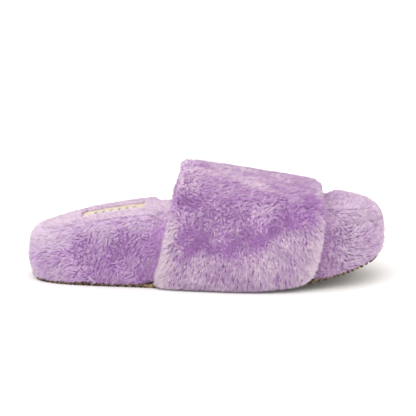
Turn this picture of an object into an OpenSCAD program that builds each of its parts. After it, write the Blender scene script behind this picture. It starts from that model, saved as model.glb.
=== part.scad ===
// Fluffy house slipper: a one-strap plush slide on a fabric-wrapped foam platform.
// Right foot. X runs from heel to toe, Y from the outer side to the inner side, Z up from the floor.

/* [Outline of the platform] */

// Length of the foam platform under its plush, heel to toe
core_length = 253; // [210:1:300]

// Width of the foam platform across the ball of the foot
ball_width = 95; // [75:1:115]

// Width of the foam platform across the heel
heel_width = 67; // [50:1:85]

// How square the rounded heel and toe are (2 is an ellipse)
end_squareness = 3.1; // [2:0.1:5]

// How far the toe end swings towards the inner side
toe_swing = 4; // [0:0.5:10]

// How far the inner side is cut in at the arch of the foot
arch_cut = 4; // [0:0.5:10]

/* [Platform heights] */

// Thickness of the moulded outsole
outsole_thickness = 2.9; // [2:0.1:5]

// Height from the floor to the top of the footbed foam, at mid foot
platform_height = 49; // [35:1:60]

// How much lower the platform is at the very heel
heel_drop = 17; // [0:1:22]

// How much thinner the platform is at the very toe
toe_drop = 18.5; // [0:1:22]

// Distance from the middle of the sole to where the toe starts to rise
spring_start = 17; // [0:1:70]

// Radius of the upward curve under the toe
spring_radius = 350; // [200:10:600]

// Thickness of the stiff board under the footbed
board_thickness = 1.5; // [0.8:0.1:3]

// Thickness of the soft foam under the foot
foam_thickness = 6; // [3:0.5:12]

// Thickness of the plush on the footbed, cloth and pile
footbed_plush = 8; // [3:0.5:14]

// Depth of the hollow that the forefoot rests in
forefoot_dish = 5.5; // [0:0.5:8]

/* [Side band] */

// How far the plush of the side band stands out from the foam
band_plush = 8.5; // [4:0.5:14]

// The same where the strap presses the pile flat
band_pressed = 3; // [1.5:0.5:6]

// How far the outsole stands out from the foam
outsole_margin = 4.5; // [0:0.5:6]

// Thickness of the band's edge where it is turned under the foam
turned_cloth = 1.2; // [0.8:0.1:2]

// How far that edge reaches in under the foam
turned_width = 12; // [6:1:20]

// Width of the seam line between band and footbed, inside the foam's edge
seam_inset = 1.5; // [1:0.1:4]

/* [Strap] */

// Where the strap's rear edge crosses the top of the foot
strap_rear = -19; // [-50:1:10]

// Where the strap's front edge crosses the toes
strap_front = 87; // [40:1:110]

// How much further back the rear edge is near the floor
strap_flare_rear = 27; // [0:1:40]

// How much further back the front edge is near the floor
strap_flare_front = 22; // [0:1:30]

// Height of the strap's outside above the footbed foam, at its rear edge over the instep
instep_height = 42; // [28:1:80]

// Height of the strap's outside above the footbed foam, at its front edge over the toes
toe_height = 24.5; // [18:1:60]

// How far below the footbed foam's top the strap stops being upright and bends over the foot
shoulder_drop = 5; // [2:0.5:15]

// Roundness of the bend over the foot (2 is an ellipse)
arch_squareness = 2.2; // [2:0.1:4]

// Thickness of the strap's lining
lining_thickness = 1; // [0.6:0.1:3]

// Thickness of the foam inside the strap
strap_foam_thickness = 2; // [1:0.5:6]

// Thickness of the plush outside the strap, cloth and pile
strap_plush = 7.5; // [3:0.5:14]

// Depth of the soft crease along the strap's shoulder
crease_depth = 1.5; // [0:0.1:3]

/* [Seams and label] */

// Diameter of the sewing thread, as a twisted strand with its loops
thread_diameter = 0.9; // [0.4:0.1:1.2]

// Length of the woven label on the heel
label_length = 50; // [30:1:70]

// Width of the label
label_width = 24; // [15:1:35]

// Thickness of the label
label_thickness = 0.9; // [0.5:0.1:2]

// Where the middle of the label lies along the foot
label_place = -70; // [-90:1:-50]

// How deep the label is sewn down into the pile
label_press = 2.5; // [0:0.5:4]

/* [Tread] */

// Distance from one tread groove to the next
tread_pitch = 3.6; // [2.4:0.1:8]

// Width of each groove
groove_width = 1.4; // [0.8:0.1:4]

// Depth of each groove
groove_depth = 1.2; // [0.5:0.1:1.8]

// Width of the smooth rail left along the middle of the sole
tread_rail = 14; // [6:1:30]

/* [Hidden] */

// Thickness of the cement between outsole and upper parts
cement_line = 0.1;
// Room between the strap and the pressed pile of the band
strap_gap = 0.3;
// How far the pile stays pressed beyond the strap's edges, and over how much it rises again
press_margin = 5.5;
press_run = 7;
// Half of the platform's length
half_length = core_length / 2;
// Height where the strap stops being upright and bends over the foot
shoulder_height = platform_height - shoulder_drop;
// Full thickness of the strap
strap_thickness = lining_thickness + strap_foam_thickness + strap_plush;
// Height of the turned-under cloth above the floor
margin_floor = outsole_thickness + cement_line;
// Height of the rim's pile above the platform where the strap presses it
pressed_rim = footbed_plush - 5;
// Thickness of the strap's tab under the foam
tab_thickness = 1;
// Room that the strap's tab needs under the band
tab_room = tab_thickness + 2 * cement_line;
// Half of the room left for a seam's thread
seam_room = thread_diameter / 2 + 0.2;
// Height of the rim's thread above the footbed foam
seam_lift = 1.3;
// Number of points around each outline
ring_points = 96;
// Number of columns across the strap, rear to front
strap_columns = 16;
// Number of rows up each side of the strap
side_rows = 8;
// Number of rows over the bend of the strap
arch_rows = 24;
strap_last_row = 2 * side_rows + arch_rows;
// Length along the strap from the floor to the middle of its top
strap_run = 110;
$fn = 24;

// ---- shapes of the outline and of the heights ----

function smooth(t) = let (k = min(1, max(0, t))) k * k * (3 - 2 * k);
function mix(a, b, t) = a + (b - a) * t;

// Rounded ends: 1 along the middle of the foot, 0 at the very ends
function fullness(part) = pow(max(0, 1 - pow(abs(part), end_squareness)), 1 / end_squareness);

// Cut of the inner side at the arch of the foot
function waist(x) = arch_cut / 2 * exp(-pow((x + 30) / 35, 2));
function half_width(x) = mix(heel_width, ball_width, smooth((x + 80) / 130)) / 2 - waist(x);
function centre_y(x) = toe_swing * pow(max(0, min(1, (x - 30) / 97)), 2) - waist(x);

// Place across the foot of a line that runs "out" beyond the foam, on one side
function side_y(x, out, side) =
    centre_y(x) + side * (half_width(x) + out) * fullness(x / (half_length + out));

// Rise of the sole's underside at the toe
function spring(x) = x <= spring_start ? 0
    : spring_radius - sqrt(pow(spring_radius, 2) - pow(x - spring_start, 2));

// Thickness of the platform from the outsole's underside to the footbed foam's top
function platform(x) = platform_height
    - heel_drop * pow(max(0, -20 - x) / (half_length - 20), 1.7)
    - toe_drop * pow(max(0, x - 60) / (half_length - 58), 2.05);

// Where the strap's rear and front edges run on its sides, at a height z
function rear_at(z) = strap_rear - 0.74 * strap_flare_rear + 0.3 * max(0, z - 14);
function front_at(z) = strap_front - strap_flare_front * pow(max(0, 1 - z / 45), 2);

// How strongly the strap presses on the band, 0 to 1, at a height z
function pressed(x, z) =
    smooth((x - rear_at(z) + press_margin + press_run) / press_run)
    * smooth((front_at(z) + press_margin + press_run - x) / press_run);

// Room for the strap's tabs, under the turned-in cloth
function tab_step(x) = tab_room * pressed(x, 0);

// Height of a level: 0 is the sole's underside, 1 the top of the footbed foam,
// between them a share of the thickness, and -1 the underside with room for the strap's tabs
function level(share, x) = spring(x) + (share < 0 ? tab_step(x) : share * platform(x));

// Depth of the hollow under the forefoot, as a share: it ends short of the toe
function hollow(x) = smooth((x + 40) / 80) * smooth((half_length - 10 - x) / 34);

// ---- closed outlines stacked into solids ----

// One point of an outline. The entry is [out, share, rise, out pressed, rise pressed,
// share of the hollow]
function ring_point(entry, turn) =
    let (
        x_free = (half_length + entry[0]) * cos(turn),
        z_free = level(entry[1], x_free) + entry[2],
        press = len(entry) > 3 ? pressed(x_free, z_free) : 0,
        out = mix(entry[0], len(entry) > 3 ? entry[3] : 0, press),
        rise = mix(entry[2], len(entry) > 3 ? entry[4] : 0, press),
        dish = len(entry) > 5 ? entry[5] * forefoot_dish * hollow(x_free) : 0,
        x = (half_length + out) * cos(turn)
    )
    [x, side_y(x, out, sign(round(1000 * sin(turn)))), level(entry[1], x) + rise - dish];

function ring(entry) =
    [for (i = [0 : ring_points - 1]) ring_point(entry, 360 * i / ring_points)];

// Two triangles between outline j and outline k, at point i. The cut across the pair
// is the same for two solids that meet there
function wall_pair(j, k, i, shrinking) =
    let (n = ring_points, a = j * n + i, b = j * n + (i + 1) % n, c = k * n + (i + 1) % n, d = k * n + i)
    shrinking ? [[a, d, c], [a, c, b]] : [[a, d, b], [b, d, c]];

function walls(profile, j, k) =
    [for (i = [0 : ring_points - 1])
        each wall_pair(j, k, i, profile[j][0] >= profile[k][0])];

// A lid across outline j, made of strips that run straight across the foot
function lid(j, upward) =
    let (n = ring_points)
    [for (i = [0 : n / 2 - 1])
        each let (a = j * n + i, b = j * n + i + 1, c = j * n + n - i - 1, d = j * n + (n - i) % n)
            [for (face = concat(i > 0 ? [[a, b, d]] : [], i < n / 2 - 1 ? [[b, c, d]] : []))
                upward ? [face[2], face[1], face[0]] : face]];

module stacked(profile) {
    last = len(profile) - 1;
    polyhedron(
        points = [for (entry = profile) each ring(entry)],
        faces = concat(
            lid(0, false),
            [for (j = [0 : last - 1]) each walls(profile, j, j + 1)],
            lid(last, true)
        ),
        convexity = 6
    );
}

// The same, but a closed hoop with no lids
module hoop(profile) {
    count = len(profile);
    polyhedron(
        points = [for (entry = profile) each ring(entry)],
        faces = [for (j = [0 : count - 1]) each walls(profile, j, (j + 1) % count)],
        convexity = 8
    );
}

// ---- shape of the strap ----

// Distance along the strap from the floor, as a share of the way to its top
function strap_share(row) =
    let (side_row = min(row, strap_last_row - row))
    side_row <= side_rows ? shoulder_height * pow(side_row / side_rows, 1.2) / strap_run
        : mix(shoulder_height / strap_run, 1, min(1, (side_row - side_rows) / (arch_rows / 2)));

function rear_edge(s) =
    strap_rear - min(strap_flare_rear * pow(1 - s, 2), 0.72 * strap_flare_rear)
    + 15 * pow(max(0, 1 - s / 0.1), 2);
function front_edge(s) =
    strap_front - strap_flare_front * pow(max(0, 1 - s / 0.45), 2)
    - 4 * pow(max(0, 1 - s / 0.07), 2);

function column_share(column) = column == 0 ? 0
    : column == strap_columns ? 1
    : mix(0.035, 0.965, (column - 1) / (strap_columns - 2));

function strap_x(column, row) =
    mix(rear_edge(strap_share(row)), front_edge(strap_share(row)), column_share(column));

function strap_top(x) = platform_height
    + mix(instep_height, toe_height, (x - strap_rear - 4) / (strap_front - strap_rear - 8));

// Out and height of the strap's two faces on its sides: [inner out, inner z, outer out, outer z]
function side_profile(k) =
    let (
        wall = band_pressed + strap_gap,
        outer = wall + strap_thickness,
        floor_z = margin_floor + cement_line / 2,
        shoulder = shoulder_height,
        edge = outsole_margin + 0.8
    )
    k == 0 ? [-turned_width + 1, floor_z + tab_thickness, -turned_width + 1, floor_z]
    : k == 1 ? [0.6, floor_z + tab_thickness, edge, floor_z]
    : k == 2 ? [wall - 0.5, floor_z + tab_thickness + 1.1, edge + 0.5, floor_z - 1.7]
    : k == 3 ? [wall, floor_z + tab_thickness + 4, mix(edge, outer, 0.45), 0.9]
    : k == 4 ? [wall, 0.28 * shoulder, outer - 1.6, 3.2]
    : k == 5 ? [wall, 0.42 * shoulder, outer - 0.2, 0.24 * shoulder]
    : k == 6 ? [wall, 0.6 * shoulder, outer, 0.5 * shoulder]
    : k == 7 ? [wall, 0.8 * shoulder, outer - 0.3 * crease_depth, 0.78 * shoulder]
    : [wall, shoulder, outer - crease_depth, shoulder];

// A point of the strap's bend: raise is the distance beyond the inner face. A low bend is
// squarer, to clear the footbed's rim
function bend_point(x, turn, raise) =
    let (
        wall = band_pressed + strap_gap,
        inner_top = strap_top(x) - strap_thickness - shoulder_height - spring(x),
        rim_top = platform(x) + pressed_rim - shoulder_height,
        squareness = arch_squareness * max(1, 2.1 * rim_top / inner_top),
        part = pow(abs(cos(turn)), 2 / squareness) * sign(round(1000 * cos(turn))),
        up = pow(max(0, sin(turn)), 2 / squareness),
        span = abs(side_y(x, wall, 1) - side_y(x, wall, -1)) / 2,
        middle = (side_y(x, wall, 1) + side_y(x, wall, -1)) / 2,
        crease = crease_depth * pow(1 - sin(turn), 4) * raise / strap_thickness
    )
    [x, middle - part * (span + raise - crease), shoulder_height + spring(x) + up * (inner_top + raise)];

// Either face of the strap, at a column and a row
function strap_face(column, row, outside) =
    let (
        x = strap_x(column, row),
        side_row = min(row, strap_last_row - row),
        side = row < strap_last_row / 2 ? -1 : 1,
        p = side_profile(side_row)
    )
    side_row <= side_rows
        ? (outside ? [x, side_y(x, p[2], side), p[3] + spring(x)]
            : [x, side_y(x, p[0], side), p[1] + spring(x)])
        : bend_point(x, 180 * (row - side_rows) / arch_rows, outside ? strap_thickness : 0);

// How full the pile is near the strap's front and rear edges
function edge_fullness(column) =
    let (c = min(column, strap_columns - column))
    c == 0 ? 0.58 : c == 1 ? 0.92 : 1;

// The four faces between the strap's layers: 0 lining's inside, 1 lining to foam,
// 2 foam to plush, 3 plush's outside
function layer_point(face, column, row) =
    let (
        a = strap_face(column, row, false),
        b = strap_face(column, row, true),
        side_row = min(row, strap_last_row - row),
        bare = column == 0 || column == strap_columns || side_row < 3,
        lining_share = lining_thickness / strap_thickness,
        foam_share = (lining_thickness + strap_foam_thickness) / strap_thickness,
        share = face == 0 ? 0
            : face == 1 || (face == 2 && bare) ? lining_share
            : face == 2 ? foam_share
            : side_row < 2 ? 1 : edge_fullness(column)
    )
    mix(a, b, share);

// A padded sheet between two faces of the strap
module strap_sheet(face_in, face_out, first_column, last_column, first_row, last_row) {
    columns = last_column - first_column + 1;
    rows = last_row - first_row + 1;
    count = columns * rows;
    inner = [for (r = [first_row : last_row]) for (c = [first_column : last_column])
        layer_point(face_in, c, r)];
    outer = [for (r = [first_row : last_row]) for (c = [first_column : last_column])
        layer_point(face_out, c, r)];
    skin = [for (r = [0 : rows - 2]) for (c = [0 : columns - 2])
        let (a = r * columns + c, b = a + 1, d = a + columns, e = d + 1)
        each [[a, b, e], [a, e, d]]];
    border = concat(
        [for (c = [0 : columns - 2]) [c, c + 1]],
        [for (r = [0 : rows - 2]) [(r + 1) * columns - 1, (r + 2) * columns - 1]],
        [for (c = [columns - 1 : -1 : 1]) [(rows - 1) * columns + c, (rows - 1) * columns + c - 1]],
        [for (r = [rows - 1 : -1 : 1]) [r * columns, (r - 1) * columns]]
    );
    polyhedron(
        points = concat(inner, outer),
        faces = concat(
            [for (f = skin) [f[0], f[1], f[2]]],
            [for (f = skin) [f[2] + count, f[1] + count, f[0] + count]],
            [for (e = border) each [[e[1], e[0], e[0] + count], [e[1], e[0] + count, e[1] + count]]]
        ),
        convexity = 8
    );
}

// A thread that runs along one edge of the strap, in the seam between plush and lining
module strap_edge_thread(edge_column, next_column) {
    first = 4;
    last = strap_last_row - 4;
    sides = 6;
    rows = last - first + 1;
    centres = [for (r = [first : last])
        let (
            low = mix(layer_point(1, edge_column, r), layer_point(1, next_column, r), 0.72),
            high = mix(layer_point(2, edge_column, r), layer_point(2, next_column, r), 0.72)
        )
        mix(low, high, 0.5)];
    outs = [for (r = [first : last])
        let (v = layer_point(3, next_column, r) - layer_point(0, next_column, r)) v / norm(v)];
    radius = min(thread_diameter / 2, 0.3 * strap_foam_thickness);
    polyhedron(
        points = [for (k = [0 : rows - 1]) for (s = [0 : sides - 1])
            centres[k] + radius * (cos(360 * s / sides) * [1, 0, 0] + sin(360 * s / sides) * outs[k])],
        faces = concat(
            [[for (s = [sides - 1 : -1 : 0]) s]],
            [for (k = [0 : rows - 2]) for (s = [0 : sides - 1])
                let (a = k * sides + s, b = k * sides + (s + 1) % sides)
                each [[b + sides, a + sides, a], [b, b + sides, a]]],
            [[for (s = [0 : sides - 1]) (rows - 1) * sides + s]]
        ),
        convexity = 4
    );
}

// ---- the sole ----

// Moulded outsole with cross grooves that stop at a smooth rail along the middle
module outsole() {
    steps = 60;
    reach = half_length + outsole_margin + 1;
    color([0.62, 0.5, 0.36])
    difference() {
        intersection() {
            linear_extrude(height = 60)
                polygon([for (p = ring([outsole_margin, 0, 0])) [p[0], p[1]]]);
            rotate([90, 0, 0])
                linear_extrude(height = 2 * ball_width, center = true)
                    polygon(concat(
                        [[-reach, 0], [spring_start, 0]],
                        [for (i = [1 : steps])
                            let (x = mix(spring_start, reach, i / steps)) [x, spring(x)]],
                        [for (i = [steps : -1 : 1])
                            let (x = mix(spring_start, reach, i / steps)) [x, spring(x) + outsole_thickness]],
                        [[spring_start, outsole_thickness], [-reach, outsole_thickness]]
                    ));
        }
        for (x = [-floor((half_length - 4) / tread_pitch) * tread_pitch : tread_pitch : half_length - 4])
            for (side = [-1, 1])
                translate([x - groove_width / 2, side > 0 ? tread_rail / 2 : -ball_width, -1])
                    cube([groove_width, ball_width - tread_rail / 2, 1 + groove_depth + spring(x)]);
    }
}

// Thin felt that fills the hollow between the turned-in edges
module bottom_filler() {
    color([0.75, 0.72, 0.68])
        stacked([
            [-turned_width, 0, margin_floor],
            [-turned_width, -1, margin_floor + turned_cloth]
        ]);
}

// The foam platform
module midsole() {
    top = -(foam_thickness + board_thickness);
    color([0.93, 0.93, 0.9])
        stacked([
            [-turned_width, -1, margin_floor + turned_cloth],
            [0, -1, margin_floor + turned_cloth],
            [0, 1, top]
        ]);
}

// Stiff board that spreads the foot's load
module insole_board() {
    color([0.8, 0.7, 0.55])
        stacked([
            [0, 1, -(foam_thickness + board_thickness)],
            [0, 1, -foam_thickness]
        ]);
}

// Soft foam under the foot
module footbed_foam() {
    color([0.97, 0.9, 0.62])
        stacked([
            [0, 1, -foam_thickness],
            [0, 1, 0],
            [-seam_inset, 1, 0]
        ]);
}

// ---- the plush ----

// Plush cover of the footbed, with a groove for the rim's thread
module footbed_cover() {
    top = footbed_plush;
    flat = pressed_rim;
    color([0.86, 0.76, 0.9])
        difference() {
            stacked([
                [-seam_inset, 1, 0],
                [-seam_inset, 1, seam_lift - seam_room],
                [-seam_inset - seam_room, 1, seam_lift],
                [-seam_inset, 1, seam_lift + seam_room],
                [-seam_inset, 1, top - 0.6, -seam_inset, flat],
                [-seam_inset - 4, 1, top + 0.2, -seam_inset - 4, flat + 0.4, 0.1],
                [-10, 1, top + 0.3, -10, flat + 1.2, 0.5],
                [-17, 1, top + 0.1, -17, top + 0.1, 0.85],
                [-26, 1, top, -26, top, 1]
            ]);
            label_block(label_room, -label_gap, label_press + 2);
        }
}

// Plush band around the platform, turned under it at the bottom
module side_band() {
    flat = pressed_rim;
    floor_z = margin_floor;
    color([0.78, 0.62, 0.85])
        hoop([
            [-turned_width, -1, floor_z],
            [outsole_margin - 0.3, -1, floor_z, 0.6, floor_z],
            [band_plush - 2.4, -1, floor_z + 1.2, band_pressed - 0.8, floor_z + 1.5],
            [band_plush - 0.8, -1, floor_z + 4.6, band_pressed - 0.2, floor_z + 4],
            [band_plush - 0.2, 0.35, 0, band_pressed, 0],
            [band_plush + 0.5, 0.65, 0, band_pressed, 0],
            [band_plush + 0.1, 1, -5, band_pressed - 0.2, -10],
            [band_plush - 1.4, 1, 3, band_pressed - 1.1, -4.5],
            [2.8, 1, footbed_plush - 1.4, 0.4, flat - 1.6],
            [-seam_inset, 1, footbed_plush - 0.6, -seam_inset, flat],
            [-seam_inset, 1, seam_lift + seam_room],
            [-seam_inset + seam_room, 1, seam_lift],
            [-seam_inset, 1, seam_lift - seam_room],
            [-seam_inset, 1, 0],
            [0, 1, 0],
            [0, -1, floor_z + turned_cloth],
            [-turned_width, -1, floor_z + turned_cloth]
        ]);
}

// Thread of the seam that joins band and footbed cover
module rim_seam_thread() {
    r = thread_diameter / 2;
    color([0.6, 0.45, 0.7])
        hoop([for (k = [0 : 5])
            [-seam_inset + r * cos(60 * k), 1, seam_lift + r * sin(60 * k)]]);
}

module strap_lining() {
    color([0.83, 0.74, 0.88])
        strap_sheet(0, 1, 0, strap_columns, 0, strap_last_row);
}

module strap_foam() {
    color([0.97, 0.95, 0.85])
        strap_sheet(1, 2, 1, strap_columns - 1, 3, strap_last_row - 3);
}

module strap_outer() {
    color([0.74, 0.57, 0.82])
        strap_sheet(2, 3, 0, strap_columns, 0, strap_last_row);
}

module strap_rear_thread() {
    color([0.6, 0.45, 0.7])
        strap_edge_thread(0, 1);
}

module strap_front_thread() {
    color([0.6, 0.45, 0.7])
        strap_edge_thread(strap_columns, strap_columns - 1);
}

// ---- the label ----

// Room under the label, and around it in the pile
label_gap = 0.1;
label_room = 0.4;
function label_floor(x) = level(1, x) + footbed_plush + 0.4 + label_gap - label_press;

// A bar that follows the heel under the label, from low to high above the label's underside,
// and wider than the label by grow on every side
module label_block(grow, low, high) {
    steps = 12;
    xs = [for (i = [0 : steps]) label_place + (label_length + 2 * grow) * (i / steps - 0.5)];
    n = steps + 1;
    half = label_width / 2 + grow;
    polyhedron(
        points = concat(
            [for (x = xs) [x, -half, label_floor(x) + low]],
            [for (x = xs) [x, half, label_floor(x) + low]],
            [for (x = xs) [x, half, label_floor(x) + high]],
            [for (x = xs) [x, -half, label_floor(x) + high]]
        ),
        faces = concat(
            [for (k = [0 : 3]) for (i = [0 : steps - 1])
                let (m = (k + 1) % 4)
                [k * n + i + 1, m * n + i + 1, m * n + i, k * n + i]],
            [[0, n, 2 * n, 3 * n], [3 * n + steps, 2 * n + steps, n + steps, steps]]
        ),
        convexity = 2
    );
}

// Woven label that is sewn on the heel's plush
module heel_label() {
    color([0.95, 0.89, 0.78])
        label_block(0, 0, label_thickness);
}

// One stitch that lies on the label
module stitch(x, y, turn, length) {
    slope = atan2(label_floor(x + 1) - label_floor(x - 1), 2);
    translate([x, y, label_floor(x) + label_thickness + 0.22])
        rotate([0, -slope, 0])
            rotate([0, 0, turn])
                cube([length, 0.6, 0.36], center = true);
}

// Border of stitches that holds the label down
module label_stitches() {
    inset = 1.6;
    pitch = 3.3;
    length = label_length - 2 * inset;
    width = label_width - 2 * inset;
    along = floor(length / pitch);
    across = floor(width / pitch);
    color([0.88, 0.82, 0.7]) {
        for (i = [0 : along - 1])
            for (side = [-1, 1])
                stitch(label_place + length * ((i + 0.5) / along - 0.5), side * width / 2, 0, 2.3);
        for (i = [0 : across - 1])
            for (side = [-1, 1])
                stitch(label_place + side * length / 2, width * ((i + 0.5) / across - 0.5), 90, 2.1);
    }
}

// Plain embroidered chevrons in the middle of the label
module label_motif() {
    count = 6;
    pitch = 6;
    color([0.5, 0.55, 0.48])
        for (i = [0 : count - 1])
            for (side = [-1, 1])
                stitch(label_place + pitch * (i - (count - 1) / 2), side * 2.1, side * 50, 4.6);
}

// Which piece to build: "all", or one of the names above

outsole();
bottom_filler();
midsole();
insole_board();
footbed_foam();
footbed_cover();
side_band();
rim_seam_thread();
strap_lining();
strap_foam();
strap_outer();
strap_rear_thread();
strap_front_thread();
heel_label();
label_stitches();
label_motif();
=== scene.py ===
import math
import bmesh
import bpy
import numpy as np
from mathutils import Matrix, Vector
from mathutils.bvhtree import BVHTree
from mathutils.kdtree import KDTree


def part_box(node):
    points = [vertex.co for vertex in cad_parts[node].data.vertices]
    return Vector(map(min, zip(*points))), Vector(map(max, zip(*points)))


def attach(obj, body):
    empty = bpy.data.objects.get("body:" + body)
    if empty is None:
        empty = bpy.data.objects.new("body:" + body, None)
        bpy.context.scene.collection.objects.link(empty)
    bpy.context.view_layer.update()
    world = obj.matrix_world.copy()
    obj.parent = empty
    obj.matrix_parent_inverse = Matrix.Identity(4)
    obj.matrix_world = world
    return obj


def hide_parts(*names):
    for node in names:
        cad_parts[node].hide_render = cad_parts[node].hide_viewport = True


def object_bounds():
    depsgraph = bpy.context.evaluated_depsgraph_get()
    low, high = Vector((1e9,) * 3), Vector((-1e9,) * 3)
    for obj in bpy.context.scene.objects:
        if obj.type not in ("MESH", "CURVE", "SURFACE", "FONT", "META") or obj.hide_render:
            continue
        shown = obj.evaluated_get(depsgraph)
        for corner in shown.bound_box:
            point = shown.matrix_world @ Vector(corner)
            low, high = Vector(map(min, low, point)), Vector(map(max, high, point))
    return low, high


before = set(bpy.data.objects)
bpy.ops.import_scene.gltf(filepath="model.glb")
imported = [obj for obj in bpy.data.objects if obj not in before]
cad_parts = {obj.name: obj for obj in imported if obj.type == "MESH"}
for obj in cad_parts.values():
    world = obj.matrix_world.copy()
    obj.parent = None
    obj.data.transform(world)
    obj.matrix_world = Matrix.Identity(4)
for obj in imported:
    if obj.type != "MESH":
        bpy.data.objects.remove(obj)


# ---- Camera, floor and light -------------------------------------------------------------
# A side view from the outer side of the foot, a little above it, through a long lens.
# The slipper stands on a white paper floor under broad, soft studio light.

cad_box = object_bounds()
middle = (Vector(cad_box[0]) + Vector(cad_box[1])) / 2

camera_distance = 1.3
camera_height_angle = math.radians(11.93)
camera_side_angle = math.radians(0.92)
look_direction = Vector((
    -math.sin(camera_side_angle) * math.cos(camera_height_angle),
    math.cos(camera_side_angle) * math.cos(camera_height_angle),
    -math.sin(camera_height_angle),
))
camera_place = middle - camera_distance * look_direction
aim = middle + Vector((0.0010, 0, 0.0079))
camera_data = bpy.data.cameras.new("camera")
camera_data.lens = 147
camera_data.sensor_width = 36
camera_data.clip_end = 50
camera = bpy.data.objects.new("camera", camera_data)
camera.location = camera_place
camera.rotation_euler = (aim - camera_place).to_track_quat("-Z", "Y").to_euler()
bpy.context.scene.collection.objects.link(camera)
bpy.context.scene.camera = camera
bpy.context.scene.view_settings.view_transform = "Standard"


def add_node(tree, kind, **values):
    """A shader node, with its settings and its sockets' values."""
    node = tree.nodes.new("ShaderNode" + kind)
    for name, value in values.items():
        if hasattr(node, name):
            setattr(node, name, value)
        else:
            node.inputs[name.replace("_", " ")].default_value = value
    return node


def new_material(name, roughness=0.6, sheen=0.0, sheen_tint=(1, 1, 1), specular=0.5):
    """A material with one Principled shader and no pattern yet. Returns the material, its
    tree and its shader."""
    material = bpy.data.materials.new(name)
    material.use_nodes = True
    tree = material.node_tree
    shader = tree.nodes["Principled BSDF"]
    shader.inputs["Roughness"].default_value = roughness
    shader.inputs["Sheen Weight"].default_value = sheen
    shader.inputs["Sheen Roughness"].default_value = 0.5
    shader.inputs["Sheen Tint"].default_value = (*sheen_tint, 1)
    shader.inputs["Specular IOR Level"].default_value = specular
    return material, tree, shader


def add_object(name, mesh, material):
    """A new piece, in the scene, with one material."""
    piece = bpy.data.objects.new(name, mesh)
    bpy.context.scene.collection.objects.link(piece)
    mesh.materials.clear()
    mesh.materials.append(material)
    return piece


floor_shape = bmesh.new()
bmesh.ops.create_grid(floor_shape, x_segments=1, y_segments=1, size=12)
floor_mesh = bpy.data.meshes.new("floor")
floor_shape.to_mesh(floor_mesh)
floor_shape.free()
paper, _, paper_shader = new_material("white_paper", roughness=0.9, specular=0.1)
paper_shader.inputs["Base Color"].default_value = (0.9, 0.9, 0.9, 1)
floor = add_object("floor", floor_mesh, paper)


def add_lamp(name, size, power, place, target, colour=(1, 1, 1)):
    """A square soft box that faces the target."""
    data = bpy.data.lights.new(name, "AREA")
    data.size = size
    data.energy = power
    data.color = colour
    lamp = bpy.data.objects.new(name, data)
    lamp.location = place
    lamp.rotation_euler = (Vector(target) - Vector(place)).to_track_quat("-Z", "Y").to_euler()
    bpy.context.scene.collection.objects.link(lamp)


add_lamp("key_light", 3.0, 50, (-1.1, -2.0, 1.9), middle)
add_lamp("fill_light", 1.6, 12, (1.7, -0.9, 0.9), middle, (1.0, 0.985, 0.96))
world = bpy.data.worlds.new("studio")
world.use_nodes = True
world.node_tree.nodes["Background"].inputs["Color"].default_value = (1, 0.985, 0.955, 1)
world.node_tree.nodes["Background"].inputs["Strength"].default_value = 1.15
bpy.context.scene.world = world


# ---- Outsole -----------------------------------------------------------------------------
# One thin sheet of tan thermoplastic rubber, moulded with cross ribs and cemented under the
# foam. Its edge shows below the plush, dull, mottled with near-black patches of painted shade
# that stand for the shade under the pile and down in the grooves.


def add_pattern(tree, kind, output="Fac", **values):
    """A texture that is fixed to the piece. Returns the output that holds its pattern."""
    coords = add_node(tree, "TexCoord")
    texture = add_node(tree, "Tex" + kind, **values)
    tree.links.new(coords.outputs["Object"], texture.inputs["Vector"])
    return texture.outputs[output]


def colour_by(tree, shader, pattern, dark, light, start=0.0, end=1.0):
    """Colours the shader dark where the pattern is below start and light where it is past end."""
    tones = add_node(tree, "ValToRGB")
    tones.color_ramp.elements[0].position = start
    tones.color_ramp.elements[0].color = (*dark, 1)
    tones.color_ramp.elements[1].position = end
    tones.color_ramp.elements[1].color = (*light, 1)
    tree.links.new(pattern, tones.inputs["Fac"])
    tree.links.new(tones.outputs["Color"], shader.inputs["Base Color"])


def bump_by(tree, shader, pattern, strength, distance):
    """Raises the surface a little where the pattern is high."""
    bump = add_node(tree, "Bump", Strength=strength, Distance=distance)
    tree.links.new(pattern, bump.inputs["Height"])
    tree.links.new(bump.outputs["Normal"], shader.inputs["Normal"])


rubber, tree, shader = new_material("tan_rubber", roughness=0.75, specular=0.3)
painted_shade_patches = add_pattern(tree, "Noise", Scale=330.0, Detail=2.0)
grain = add_pattern(tree, "Noise", Scale=900.0, Detail=3.0)
# Painted shade: the dark end of this ramp is near black, for the shade under the pile.
colour_by(tree, shader, painted_shade_patches, (0.03, 0.016, 0.008), (0.28, 0.185, 0.10), 0.44, 0.72)
bump_by(tree, shader, grain, 0.35, 0.0003)


def finish_node(node, material):
    """Gives a CAD node its material."""
    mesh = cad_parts[node].data
    mesh.materials.clear()
    mesh.materials.append(material)


finish_node("outsole", rubber)


# ---- Foam platform, board, footbed foam, filler and strap foam ---------------------------
# What the plush is wrapped around: a closed-cell EVA wedge, a pressed fibre board, soft
# open-cell foam on top and in the strap, and needled felt in the hollow underneath.


def porous_material(name, dark, light, pore_scale, roughness):
    """Foam, board or felt: two tones in small cells, with pits, and painted shade down in the pits.
    """
    material, tree, shader = new_material(name, roughness=roughness, specular=0.2)
    cells = add_pattern(tree, "Voronoi", output="Distance", Scale=pore_scale)
    # Painted shade: darkest at the cell centres, where the bump sinks them into pits.
    colour_by(tree, shader, cells, dark, light, 0.0, 0.6)
    bump_by(tree, shader, cells, 0.4, 0.0004)
    return material


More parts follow.
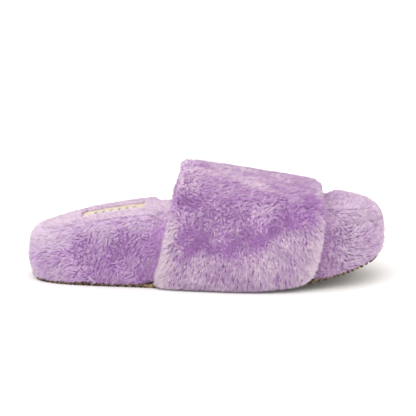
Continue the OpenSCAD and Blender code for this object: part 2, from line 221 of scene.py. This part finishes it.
eva_foam = porous_material("eva_foam", (0.7, 0.7, 0.66), (0.86, 0.86, 0.82), 700, 0.8)
fibre_board = porous_material("fibre_board", (0.42, 0.3, 0.18), (0.62, 0.48, 0.32), 500, 0.9)
soft_foam = porous_material("soft_foam", (0.7, 0.58, 0.28), (0.9, 0.8, 0.5), 900, 0.9)
filler_felt = porous_material("filler_felt", (0.4, 0.37, 0.34), (0.6, 0.57, 0.52), 600, 1.0)
finish_node("midsole", eva_foam)
finish_node("insole_board", fibre_board)
finish_node("footbed_foam", soft_foam)
finish_node("strap_foam", soft_foam)
finish_node("bottom_filler", filler_felt)


# ---- Side band ---------------------------------------------------------------------------
# Long-pile faux fur, knitted on a cloth backing, wrapped round the platform's edge and
# turned in below it. The pile is brushed every way: it swirls on the sides, radiates at the
# heel and the toe, and hangs as a fringe over the sole's edge.

MM = 0.001
strand_spacing = 0.53 * MM
strand_width = 0.42 * MM
strands_in_tuft = 7
gather = 0.5            # how far a tuft's strands lean together at their tips, 0 to 1
ruffle = 0.32           # how far the tufts stray from the way they are brushed
full_pile = 0.0045      # depth of pile that gives a strand its whole reach
thin_pile = 0.0018      # depth below which a strand is rooted straight under its place
edge_root = 0.0025      # how deep it is rooted there
shortest_pile = 0.0004  # depth below which none grows
under_strap = 0.00045   # a place nearer to the strap's lining than this lies under the strap
floor_gap = 0.0004      # height of the lowest pile over the floor


def node_shape(*nodes):
    """A merged copy of the meshes of some CAD nodes."""
    shape = bmesh.new()
    for node in nodes:
        shape.from_mesh(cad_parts[node].data)
    bmesh.ops.remove_doubles(shape, verts=shape.verts, dist=0.00001)
    bmesh.ops.triangulate(shape, faces=shape.faces)
    return shape


def search_tree(*nodes):
    """A search tree over the faces of some CAD nodes."""
    shape = node_shape(*nodes)
    found = BVHTree.FromBMesh(shape)
    shape.free()
    return found


def wave_field(points, size, seed, waves=9):
    """A smooth random value, mostly from -1 to 1, at each point; size is one swell's width."""
    rng = np.random.default_rng(seed)
    directions = rng.normal(size=(waves, 3))
    directions /= np.linalg.norm(directions, axis=1)[:, None]
    turns = 2 * np.pi / (size * rng.uniform(0.7, 1.8, waves))
    phases = rng.uniform(0, 2 * np.pi, waves)
    return np.sin(points @ (directions * turns[:, None]).T + phases).sum(1) / math.sqrt(waves)


def wave_slope(points, size, seed):
    """Which way, and how steeply, the wave field climbs at each point."""
    ends = [wave_field(points + 0.05 * size * axis, size, seed) for axis in np.eye(3)]
    return (np.stack(ends, 1) - wave_field(points, size, seed)[:, None]) / 0.3


def step(value, start, end):
    """0 before start, 1 after end, smooth between."""
    t = np.clip((value - start) / (end - start), 0, 1)
    return t * t * (3 - 2 * t)


def bump_at(value, place, width):
    """1 at the place, falling to 0 a width or two away."""
    return np.exp(-((value - place) / width) ** 2)


def unit(vectors):
    """The same directions, each one long."""
    return vectors / np.maximum(np.linalg.norm(vectors, axis=1), 1e-9)[:, None]


def cloth_skin(name, node, core, share, material):
    """The cloth that the pile is knitted on: a copy of the node whose outside is drawn in
    towards the core by a share of the pile's depth, then rounded and a little uneven."""
    shape = node_shape(node)
    for vert in shape.verts:
        near, _, _, distance = core.find_nearest(vert.co)
        if distance > 0.0012:
            vert.co = vert.co.lerp(near, share)
    bmesh.ops.subdivide_edges(shape, edges=shape.edges, cuts=1, use_grid_fill=True)
    bmesh.ops.recalc_face_normals(shape, faces=shape.faces)
    outside = [v for v in shape.verts if core.find_nearest(v.co)[3] > 0.0015]
    for _ in range(2):
        bmesh.ops.smooth_vert(shape, verts=outside, factor=0.5,
                              use_axis_x=True, use_axis_y=True, use_axis_z=True)
    swell = wave_field(np.array([v.co[:] for v in outside]), 0.012, 3)
    for vert, amount in zip(outside, swell):
        vert.co += vert.normal * (0.00025 * float(amount))
    mesh = bpy.data.meshes.new(name)
    shape.to_mesh(mesh)
    shape.free()
    mesh.polygons.foreach_set("use_smooth", [True] * len(mesh.polygons))
    return add_object(name, mesh, material)


def pile_places(node, core, seed, keep):
    """Random places on the node's outside, and the place on the core under each. On a turned
    edge, where the core is thin or to one side, that is a place straight under the surface.
    keep(tops, facing) says which places grow pile."""
    rng = np.random.default_rng(seed)
    shape = node_shape(node)
    bmesh.ops.recalc_face_normals(shape, faces=shape.faces)
    corners = np.array([[v.co[:] for v in f.verts] for f in shape.faces])
    shape.free()
    across = np.cross(corners[:, 1] - corners[:, 0], corners[:, 2] - corners[:, 0])
    area = np.linalg.norm(across, axis=1) / 2
    count = int(area.sum() / strand_spacing ** 2)
    face = rng.choice(len(area), count, p=area / area.sum())
    a, b = rng.random(count), rng.random(count)
    turned = a + b > 1
    a[turned], b[turned] = 1 - a[turned], 1 - b[turned]
    c = corners[face]
    tops = c[:, 0] + a[:, None] * (c[:, 1] - c[:, 0]) + b[:, None] * (c[:, 2] - c[:, 0])
    facing = across[face] / (2 * area[face])[:, None]
    kept = keep(tops, facing)
    tops, facing = tops[kept], facing[kept]
    cores = np.array([core.find_nearest(Vector(p))[0][:] for p in tops])
    growth = tops - cores
    depth = np.linalg.norm(growth, axis=1)
    lean = (unit(growth) * facing).sum(1)
    grows = (depth > shortest_pile) & (lean > -0.2)
    edge = grows & ((depth < thin_pile) | (lean < 0.4))
    cores[edge] = tops[edge] - edge_root * facing[edge]
    return tops[grows], cores[grows]


def middle_of_tuft(tops, seed):
    """Sorts strands into tufts. Returns, for each strand, the strand in its tuft's middle."""
    rng = np.random.default_rng(seed)
    picked = rng.permutation(len(tops))[: max(1, int(len(tops) / strands_in_tuft))]
    tree = KDTree(len(picked))
    for k, index in enumerate(picked):
        tree.insert(tops[index], k)
    tree.balance()
    return np.array([picked[tree.find(p)[1]] for p in tops])


def one_strand():
    """The shape that every strand of pile repeats: a three-sided spindle along Z, one long,
    pointed at the root and at the tip. Returns its corners and its faces."""
    shape = bmesh.new()
    bmesh.ops.create_cone(shape, cap_ends=True, cap_tris=False, segments=3,
                          radius1=0.5, radius2=0.0, depth=0.55)
    bmesh.ops.remove_doubles(shape, verts=shape.verts, dist=0.001)
    base = [f for f in shape.faces if f.calc_center_median().z < -0.27]
    root = bmesh.ops.poke(shape, faces=base)["verts"][0]
    root.co = (0, 0, -0.725)
    bmesh.ops.translate(shape, verts=shape.verts, vec=(0, 0, 0.725))
    bmesh.ops.recalc_face_normals(shape, faces=shape.faces)
    shape.verts.index_update()
    corners = np.array([v.co[:] for v in shape.verts])
    faces = np.array([[v.index for v in f.verts] for f in shape.faces])
    shape.free()
    return corners, faces


def pile_mesh(name, roots, bends, tips, widths, tones):
    """One closed strand for each root, curved past its bend to its tip. The UV map holds the
    strand's tone across and the place from root to tip upward."""
    corners, faces = one_strand()
    count = len(roots)
    rise = unit(tips - roots)
    helper = np.where(np.abs(rise[:, 2:3]) < 0.8, [[0, 0, 1.0]], [[1.0, 0, 0]])
    side = unit(np.cross(rise, helper))
    other = np.cross(rise, side)
    points = np.empty((count, len(corners), 3))
    uv_points = np.empty((count, len(corners), 2))
    for k, (across, along, high) in enumerate(corners):
        middle_line = (1 - high) ** 2 * roots + 2 * high * (1 - high) * bends + high ** 2 * tips
        points[:, k] = middle_line + (side * across + other * along) * widths[:, None]
        uv_points[:, k, 0] = 0.01 + 0.98 * tones + 0.008 * across
        uv_points[:, k, 1] = high
    mesh = bpy.data.meshes.new(name)
    mesh.vertices.add(points.size // 3)
    mesh.vertices.foreach_set("co", points.ravel())
    all_corners = (faces.ravel()[None, :] + len(corners) * np.arange(count)[:, None]).ravel()
    mesh.loops.add(len(all_corners))
    mesh.loops.foreach_set("vertex_index", all_corners)
    mesh.polygons.add(len(all_corners) // 3)
    mesh.polygons.foreach_set("loop_start", np.arange(0, len(all_corners), 3))
    mesh.update(calc_edges=True)
    mesh.polygons.foreach_set("use_smooth", [True] * len(mesh.polygons))
    layer = mesh.uv_layers.new(name="OFBake")
    layer.uv.foreach_set("vector", np.clip(uv_points.reshape(-1, 2)[all_corners], 0, 1).ravel())
    return mesh


def fur_material(name, dark_root, dark_tip, pale_root, pale_tip):
    """Faux fur, coloured darker at the roots than at the tips: painted shade down between the
    strands. Each strand has its own tone between the dark one and the pale one."""
    material, tree, shader = new_material(name, roughness=0.9, sheen=0.06,
                                          sheen_tint=(1.0, 0.85, 1.0), specular=0.05)
    uv = add_node(tree, "UVMap", uv_map="OFBake")
    parts = add_node(tree, "SeparateXYZ")
    tree.links.new(uv.outputs["UV"], parts.inputs["Vector"])
    blend = add_node(tree, "Mix", data_type="RGBA")
    tree.links.new(parts.outputs["X"], blend.inputs[0])
    # Painted shade: each ramp darkens from the tip down to the root.
    for socket, root, tip in ((6, dark_root, dark_tip), (7, pale_root, pale_tip)):
        ramp = add_node(tree, "ValToRGB")
        ramp.color_ramp.elements[0].position = 0.15
        ramp.color_ramp.elements[0].color = (*root, 1)
        ramp.color_ramp.elements[1].position = 0.85
        ramp.color_ramp.elements[1].color = (*tip, 1)
        tree.links.new(parts.outputs["Y"], ramp.inputs["Fac"])
        tree.links.new(ramp.outputs["Color"], blend.inputs[socket])
    tree.links.new(blend.outputs[2], shader.inputs["Base Color"])
    return material


def grow_pile(name, material, node, core, keep, comb, tone, proud, neat, seed, length=3.8):
    """Grows the pile of one stretch of plush. comb(points, growth) is the way the pile is
    brushed, tone(points) how pale it is, proud(points) how many millimetres further than
    elsewhere it may stand out, and neat(points) how smoothly it lies, 0 to 1. length is a
    strand's length in millimetres."""
    rng = np.random.default_rng(seed)
    tops, cores = pile_places(node, core, seed + 1, keep)
    count = len(tops)
    growth = tops - cores
    depth = np.linalg.norm(growth, axis=1)
    growth = unit(growth)
    tuft = middle_of_tuft(tops, seed + 2)
    rough = 1 - 0.5 * neat(tops)
    brushed = comb(tops, growth) + ruffle * rough[:, None] * rng.normal(size=(count, 3))[tuft]
    brushed += 0.45 * ruffle * rough[:, None] * rng.normal(size=(count, 3))
    brushed -= growth * (brushed * growth).sum(1)[:, None]
    brushed = unit(brushed) * np.minimum(np.linalg.norm(brushed, axis=1), 1.1)[:, None]
    reach = length * MM * rng.uniform(0.75, 1.2, count) * np.minimum(1, depth / full_pile)
    stray = rng.random(count) < 0.05
    reach[stray] *= 1.35
    lift = MM * (0.35 * rng.normal(size=count) + 0.45 * rng.normal(size=count)[tuft]
                 + 0.3 * wave_field(tops, 0.016, seed + 3))
    extra = proud(tops) * MM
    lift += 0.7 * extra
    roots = cores + (tops - cores) * 0.45
    bends = cores + (tops - cores) * 0.92 + brushed * reach[:, None] * 0.12
    tips = tops + brushed * reach[:, None] + growth * lift[:, None]
    tips += (tips[tuft] - tips) * (gather * rough * rng.uniform(0.6, 1.1, count))[:, None]
    outside = search_tree(node)
    limits = MM * rng.uniform(0.2, 1.1, count) + extra * rng.uniform(0.3, 1.0, count)
    for k, (tip, limit) in enumerate(zip(tips, limits)):
        near, facing, _, _ = outside.find_nearest(Vector(tip))
        height = (Vector(tip) - near).dot(facing)
        if height > limit:
            tips[k] = tip - np.array(facing) * (height - limit)
    for places in (roots, bends, tips):
        places[:, 2] = np.maximum(places[:, 2], floor_gap)
    widths = strand_width * rng.uniform(0.7, 1.25, count)
    widths[stray] *= 0.7
    tones = tone(tops) + 0.19 - 0.29 * np.abs(rng.normal(size=count))[tuft]
    tones = np.clip(tones + 0.14 * rng.normal(size=count), 0, 1)
    piece = add_object(name, pile_mesh(name, roots, bends, tips, widths, tones), material)
    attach(piece, "root")


def brush_waves(points, growth, size, seed):
    """A way of brushing that turns in rings, with a little parting and meeting between them."""
    slope = wave_slope(points, size, seed)
    return 0.85 * np.cross(growth, slope) + 0.35 * slope


lilac_cloth, tree, shader = new_material("lilac_backing", roughness=1.0, sheen=0.2)
knit = add_pattern(tree, "Noise", Scale=1500.0, Detail=2.0)
colour_by(tree, shader, knit, (0.42, 0.21, 0.50), (0.58, 0.35, 0.64))

foam_core = search_tree("midsole", "insole_board", "footbed_foam")
band_skin = cloth_skin("side_band_cloth", "side_band", foam_core, 0.4, lilac_cloth)
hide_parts("side_band")
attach(band_skin, "root")

# The root colours are darker than the tips: painted shade down in the pile.
lilac_fur = fur_material("lilac_fur", (0.50, 0.21, 0.61), (0.58, 0.31, 0.68),
                         (0.70, 0.47, 0.74), (0.97, 0.85, 0.97))
toe_fur = fur_material("toe_fur", (0.42, 0.21, 0.50), (0.55, 0.33, 0.61),
                       (0.76, 0.59, 0.74), (0.98, 0.88, 0.95))
strap_inside = search_tree("strap_lining")


def clear_of_strap(tops):
    """The places that the strap doesn't lie on."""
    return np.array([strap_inside.find_nearest(Vector(p))[3] > under_strap for p in tops])


cover_places = np.array([v.co[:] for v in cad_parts["footbed_cover"].data.vertices])
cover_places = cover_places[np.argsort(cover_places[:, 0])]
rim_rows = np.array_split(cover_places, 40)
rim_x = [row[:, 0].mean() for row in rim_rows]
rim_z = [row[np.argmax(np.abs(row[:, 1])), 2] for row in rim_rows]


def below_rim(points):
    """How far a place is below the footbed's outer edge at the same place along the foot."""
    return np.interp(points[:, 0], rim_x, rim_z) - points[:, 2]


def away_from_footbed(points):
    """The level way from the footbed's middle out to a place, shorter where the place is steep."""
    return unit(points - np.array([0.01, 0, 0.05])) * (1, 1, 0)


def band_comb(points, growth):
    """Brushed outward at the heel and the toe, down and in rings between them, and over the
    rim along the top."""
    x, _, z = points.T
    ends = np.maximum(step(-x, 0.08, 0.115), step(x, 0.09, 0.12))[:, None]
    outward = np.stack([np.sign(x), 0 * x, (z - 0.024) / 0.025], 1)
    down = np.stack([0.4 * np.sign(x), 0 * x, -0.5 + 0 * x], 1)
    swirl = 0.9 * brush_waves(points, growth, 0.030, 11)
    swirl += 0.5 * brush_waves(points, growth, 0.012, 31)
    over = away_from_footbed(points) - np.array([0, 0, 0.5])
    rim = (1 - step(below_rim(points), 0.0, 0.009))[:, None]
    side = (1 - rim) * (ends * outward + (1 - ends) * down)
    return side + rim * over + (0.95 - 0.65 * np.maximum(ends, rim)) * swirl


def band_neat(points):
    """The pile lies smoothest at the very heel and toe, and along the rim."""
    ends = np.maximum(step(-points[:, 0], 0.085, 0.12), step(points[:, 0], 0.095, 0.125))
    return np.maximum(ends, 1 - step(below_rim(points), 0.002, 0.01))


def band_tone(points):
    """Palest at the heel and along the rim, painted light where they face the lamps, and darkest
    low down beside the strap, painted shadow of the strap.
    """
    x, _, z = points.T
    # Painted light on the heel end and the upward rim; painted shadow of the strap beside it.
    heel = step(-x, 0.085, 0.125)
    rim = (1 - step(below_rim(points), 0.001, 0.014)) * (1 - 0.5 * step(x, 0.03, 0.09))
    strap_shadow = step(x, -0.09, -0.05) * (1 - step(x, 0.0, 0.02)) * (1 - step(z, 0.04, 0.052))
    strap_shadow += 1.5 * bump_at(x, 0.084, 0.014)
    toe = step(x, 0.095, 0.125)
    return (0.38 + 0.38 * heel + 0.24 * rim - 0.16 * strap_shadow + 0.12 * toe
            + 0.12 * wave_field(points, 0.026, 5) + 0.08 * wave_field(points, 0.007, 15))


def band_proud(points):
    """The lowest pile hangs a little over the sole's edge, which rises towards the toe, and
    the pile of the very heel and toe stands up."""
    x, _, z = points.T
    sole_edge = 0.0029 + np.maximum(0, x - 0.017) ** 2 / 0.70
    heel = step(-x, 0.115, 0.13) * step(z, 0.008, 0.02)
    toe = step(x, 0.12, 0.133) * bump_at(z, 0.027, 0.008)
    return 1.4 * (1 - step(z - sole_edge, 0.001, 0.006)) + 1.8 * heel + 2.0 * toe


def within(tops, x0, x1, y0=-1, y1=1):
    """The places between x0 and x1 along the foot and between y0 and y1 across it."""
    return (tops[:, 0] >= x0) & (tops[:, 0] < x1) & (tops[:, 1] >= y0) & (tops[:, 1] < y1)


band_stretches = (
    ("heel_outer", -1, -0.085, -1, 1), ("heel_side_outer", -0.085, 0.03, -1, 0),
    ("heel_side_inner", -0.085, 0.03, 0, 1), ("toe_side_outer", 0.03, 0.1, -1, 0),
    ("toe_side_inner", 0.03, 0.1, 0, 1), ("toe_end", 0.1, 1, -1, 1),
)
for k, (word, *limits) in enumerate(band_stretches):
    def band_stretch(tops, facing, limits=limits):
        inside = within(tops, *limits)
        inside[inside] = clear_of_strap(tops[inside])
        return inside
    fur = toe_fur if word.startswith("toe") else lilac_fur
    grow_pile("side_band_pile_" + word, fur, "side_band", foam_core,
              band_stretch, band_comb, band_tone, band_proud, band_neat, 100 + 10 * k)


# ---- Footbed cover -----------------------------------------------------------------------
# The same plush on top of the footbed, paler, as painted light on its upward face, and lying
# flatter where a foot rests, with the label sewn on its heel part. It is joined to the side band
# by a seam hidden in the pile.

cover_skin = cloth_skin("footbed_cover_cloth", "footbed_cover", foam_core, 0.3, lilac_cloth)
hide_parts("footbed_cover")
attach(cover_skin, "root")

# The root colours are darker than the tips: painted shade down in the pile.
deep_fur = fur_material("deep_fur", (0.40, 0.165, 0.51), (0.53, 0.28, 0.62),
                        (0.76, 0.55, 0.74), (0.98, 0.85, 0.94))
label_low, label_high = (np.array(c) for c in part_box("heel_label"))
label_length, label_width = 0.05, 0.024
label_margin = 0.1 * MM


def off_label(tops):
    """The places that the label doesn't lie on."""
    flat = tops[:, :2]
    return ((flat < label_low[:2] - label_margin) | (flat > label_high[:2] + label_margin)).any(1)


def cover_comb(points, growth):
    """Brushed towards the heel in wide rings, and outward at the rim."""
    rim = 1 - step(below_rim(points), -0.001, 0.004)
    swirl = 0.6 * brush_waves(points, growth, 0.04, 41)
    return np.array([-0.5, 0, 0]) + swirl + 0.7 * rim[:, None] * away_from_footbed(points)


def cover_tone(points):
    """Pale where the foot rests, painted light on the upward face, and darker towards the toe,
    painted shade under the strap and over the toe.
    """
    x = points[:, 0]
    # Painted light on the upward face; painted shade from under the strap to the toe.
    return 0.84 - 0.3 * step(x, 0.03, 0.09) + 0.08 * wave_field(points, 0.03, 6)


def cover_proud(points):
    """The pile stands up round the label's edges, and most between them and the outer side."""
    x, y, _ = points.T
    past_end = np.abs(x - (label_low[0] + label_high[0]) / 2) - label_length / 2
    past_side = np.abs(y) - label_width / 2
    beside = 1 - step(np.maximum(past_end, past_side), 0.001, 0.006)
    rim = 1 - step(below_rim(points), -0.003, -0.0005)
    return (1.6 + 1.6 * (y < 0)) * beside + 0.7 * (1 - beside) * (1 - rim)


def cover_neat(points):
    """The pile lies evenly all over the footbed."""
    return np.full(len(points), 0.7)


cover_stretches = (("heel", -1, -0.03), ("middle", -0.03, 0.06), ("toe", 0.06, 1))
for k, (word, *limits) in enumerate(cover_stretches):
    def cover_stretch(tops, facing, limits=limits):
        return within(tops, *limits) & (facing[:, 2] > -0.1) & off_label(tops)
    fur = toe_fur if word == "toe" else deep_fur
    grow_pile("footbed_pile_" + word, fur, "footbed_cover", foam_core,
              cover_stretch, cover_comb, cover_tone, cover_proud, cover_neat, 200 + 10 * k,
              length=3.2)


# ---- Strap -------------------------------------------------------------------------------
# A wide band of plush over thin foam and a knit lining, sewn along both edges and cemented
# under the platform. The pile hangs straight down on the sides, parts along the shoulder under
# a line of painted shade, lies along the foot on top, and curls out in a fringe at the edges,
# painted pale as a highlight.

strap_core = search_tree("strap_foam", "strap_lining")
strap_skin = cloth_skin("strap_cloth", "strap_outer", strap_core, 0.4, lilac_cloth)
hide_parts("strap_outer")
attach(strap_skin, "root")

strap_low, strap_high = (np.array(c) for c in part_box("strap_outer"))


def edge_shares(x, z):
    """How near a place is to the strap's rear edge and to its front edge, each 0 to 1."""
    rear = strap_low[0] + 0.0195 * np.clip(z / 0.085, 0, 1)
    front = strap_high[0] - 0.010 * np.clip(1 - z / 0.045, 0, 1)
    return 1 - step(x, rear + 0.003, rear + 0.014), step(x, front - 0.012, front - 0.002)


def parting_line(x):
    """Height of the parting along the strap's shoulder."""
    return 0.038 + 0.022 * step(x, 0.02, 0.08)


def strap_comb(points, growth):
    """Hanging below the parting, in rings above it, lying along the foot on top, and curling
    outward at both edges."""
    x, _, z = points.T
    rear, front = edge_shares(x, z)
    line = parting_line(x)
    low_side = 1 - step(z, line - 0.009, line - 0.001)
    top = step(z, 0.062, 0.074) * step(0.09 - x, 0.0, 0.02)
    middle_part = np.clip(1 - low_side - top, 0, 1)
    hang = np.stack([0.3 * (x - 0.02) / 0.05, 0 * x, -1 + 0 * x], 1)
    along = np.stack([1 + 0 * x, 0 * x, -0.15 + 0 * x], 1)
    swirl = brush_waves(points, growth, 0.026, 61)
    fine = brush_waves(points, growth, 0.011, 67)
    way = low_side[:, None] * (hang + 0.25 * fine) + top[:, None] * (along + 0.3 * swirl)
    way += middle_part[:, None] * (0.35 * along + 0.9 * swirl + 0.6 * fine)
    way[:, 0] += 1.2 * front - 1.2 * rear
    return way


def strap_tone(points):
    """Pale low on the sides; pale on top and at both edges, painted light where the top faces the
    lamps and the fringe catches them; dark along the broken parting and at the shoulder,
    painted shade in the crease there.
    """
    x, _, z = points.T
    rear, front = edge_shares(x, z)
    line = parting_line(x)
    low_side = 1 - step(z, line - 0.012, line - 0.002)
    # Painted shade along the parting and at the shoulder; painted light on top and at the edges.
    parting_shade = bump_at(z, line, 0.008)
    shoulder = bump_at(z, 0.07, 0.004) * (1 - step(x, 0.01, 0.04))
    top = step(z, 0.07, 0.08)
    rear *= 1 - 0.9 * step(z, 0.045, 0.06)
    streaks = wave_field(points * (0.35, 1, 1), 0.007, 9) * (0.4 + 0.6 * step(z, 0.055, 0.07))
    broken = 0.36 - 0.22 * wave_field(points, 0.008, 21)
    return (0.33 + 0.26 * low_side + 0.26 * top + 0.7 * rear + 0.34 * front - broken * parting_shade
            - 0.14 * shoulder + 0.13 * wave_field(points, 0.022, 8) + 0.1 * streaks
            + 0.08 * wave_field(points, 0.006, 18))


def strap_neat(points):
    """The pile lies smoothest on top and low on the sides."""
    x, _, z = points.T
    line = parting_line(x)
    low_side = 1 - step(z, line - 0.014, line - 0.004)
    return np.maximum(0.75 * step(z, 0.064, 0.076), 0.55 * low_side)


def strap_proud(points):
    """The pile along both edges stands out as a ragged fringe, except on top and at the sole."""
    x, _, z = points.T
    fringe = np.maximum(*edge_shares(x, z)) ** 2
    return 2.2 * fringe * step(z, 0.004, 0.016) * (1 - step(z, 0.06, 0.075))


strap_panels = (
    ("rear_outer", -1, 0.025, -1, 0), ("front_outer", 0.025, 1, -1, 0),
    ("rear_inner", -1, 0.025, 0, 1), ("front_inner", 0.025, 1, 0, 1),
)
for k, (word, *limits) in enumerate(strap_panels):
    def panel(tops, facing, limits=limits):
        return within(tops, *limits)
    grow_pile("strap_pile_" + word, deep_fur, "strap_outer", strap_core,
              panel, strap_comb, strap_tone, strap_proud, strap_neat, 300 + 10 * k, length=4.2)


# ---- Strap lining ------------------------------------------------------------------------
# Short brushed knit on the inside of the strap, where it touches the foot. It is sewn to the
# plush along both edges and cemented under the platform with it.

lining_knit, tree, shader = new_material("lining_knit", roughness=0.95, sheen=0.5,
                                         sheen_tint=(1, 0.95, 1))
loops = add_pattern(tree, "Noise", Scale=1200.0, Detail=4.0)
colour_by(tree, shader, loops, (0.46, 0.30, 0.52), (0.74, 0.58, 0.78), 0.35, 0.7)
bump_by(tree, shader, loops, 0.6, 0.0004)

lining_shape = node_shape("strap_lining")
lining_mesh = bpy.data.meshes.new("strap_lining_knit")
lining_shape.to_mesh(lining_mesh)
lining_shape.free()
lining_mesh.polygons.foreach_set("use_smooth", [True] * len(lining_mesh.polygons))
lining = add_object("strap_lining_knit", lining_mesh, lining_knit)
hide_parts("strap_lining")
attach(lining, "root")


# ---- Threads of the hidden seams ---------------------------------------------------------
# Twisted polyester thread. One runs in the seam between the side band and the footbed's
# cover, and one along each edge of the strap, all of them down in the pile.

thread, tree, shader = new_material("lilac_thread", roughness=0.6, sheen=0.2)
twist = add_pattern(tree, "Wave", Scale=900.0, Distortion=1.0)
colour_by(tree, shader, twist, (0.22, 0.12, 0.3), (0.4, 0.25, 0.5))
for node in ("rim_seam_thread", "strap_rear_thread", "strap_front_thread"):
    finish_node(node, thread)


# ---- Heel label --------------------------------------------------------------------------
# A woven cream ribbon sewn on the footbed's plush with a border of stitches, and a row of
# plain chevrons embroidered along it in grey-green thread.

label_cloth, tree, shader = new_material("label_cloth", roughness=0.7, sheen=0.2)
weave = add_pattern(tree, "Wave", Scale=1100.0, Distortion=0.3, bands_direction="Y")
colour_by(tree, shader, weave, (0.60, 0.47, 0.34), (0.82, 0.71, 0.56))
bump_by(tree, shader, weave, 0.5, 0.0002)

label_core = search_tree("heel_label")


def on_label(x, y):
    """Height of the label's upper face over a place."""
    hit = label_core.ray_cast(Vector((x, y, 0.2)), Vector((0, 0, -1)))[0]
    return hit.z if hit else float(label_high[2])


ribbon_thickness = 0.5 * MM
ribbon_middle = (label_low + label_high) / 2
ribbon_size = label_high - label_low - 2 * label_margin
ribbon = bmesh.new()
bmesh.ops.create_grid(ribbon, x_segments=50, y_segments=24, size=0.5)
for vert in ribbon.verts:
    x = ribbon_middle[0] + vert.co.x * ribbon_size[0]
    y = ribbon_middle[1] + vert.co.y * ribbon_size[1]
    wave = 0.12 * MM * math.sin(420 * x + 150 * y) + 0.08 * MM * math.sin(700 * y - 260 * x)
    vert.co = (x, y, on_label(x, y) + wave - 0.1 * MM)
bmesh.ops.solidify(ribbon, geom=ribbon.faces[:], thickness=ribbon_thickness)
bmesh.ops.recalc_face_normals(ribbon, faces=ribbon.faces)
ribbon_mesh = bpy.data.meshes.new("heel_label_ribbon")
ribbon.to_mesh(ribbon_mesh)
ribbon.free()
ribbon_mesh.polygons.foreach_set("use_smooth", [True] * len(ribbon_mesh.polygons))
ribbon_piece = add_object("heel_label_ribbon", ribbon_mesh, label_cloth)
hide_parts("heel_label")
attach(ribbon_piece, "root")


def stitch_material(name, dark, light):
    """Embroidery thread with its plies in two tones."""
    material, tree, shader = new_material(name, roughness=0.55, sheen=0.2)
    plies = add_pattern(tree, "Noise", Scale=2500.0, Detail=1.0)
    colour_by(tree, shader, plies, dark, light)
    return material


stitch_radius = 0.28 * MM
stitch_arch = 0.2 * MM


def separate_bars(shape):
    """The places of the corners of each bar in a shape that holds many."""
    left = set(shape.verts)
    for first in shape.verts:
        if first not in left:
            continue
        left.remove(first)
        corners, reached = [], [first]
        while reached:
            vert = reached.pop()
            corners.append(vert.co.copy())
            for neighbour in (edge.other_vert(vert) for edge in vert.link_edges):
                if neighbour in left:
                    left.remove(neighbour)
                    reached.append(neighbour)
        yield corners


def sewn_stitches(name, node, material):
    """A rounded, slightly arched stitch of thread in the place of each bar of a CAD node."""
    bars = node_shape(node)
    stitches = bmesh.new()
    for corners in separate_bars(bars):
        centre = sum(corners, Vector()) / len(corners)
        spread = np.array([(corner - centre)[:] for corner in corners])
        along = Vector(np.linalg.eigh(spread.T @ spread)[1][:, 2])
        half_length = max(abs((corner - centre).dot(along)) for corner in corners)
        turn = along.to_track_quat("Z", "Y").to_matrix().to_4x4()
        stitch = bmesh.ops.create_uvsphere(stitches, u_segments=8, v_segments=8, radius=1)
        for vert in stitch["verts"]:
            x, y, z = vert.co
            vert.co = turn @ Vector((x * stitch_radius, y * stitch_radius, z * half_length)) + centre
            vert.co.z += stitch_arch * (0.5 - z * z)
    bars.free()
    mesh = bpy.data.meshes.new(name)
    stitches.to_mesh(mesh)
    stitches.free()
    mesh.polygons.foreach_set("use_smooth", [True] * len(mesh.polygons))
    piece = add_object(name, mesh, material)
    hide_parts(node)
    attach(piece, "root")


sewn_stitches("label_border_stitches", "label_stitches",
              stitch_material("label_border_thread", (0.6, 0.5, 0.35), (0.8, 0.7, 0.52)))
sewn_stitches("label_chevrons", "label_motif",
              stitch_material("label_motif_thread", (0.12, 0.15, 0.1), (0.25, 0.3, 0.22)))
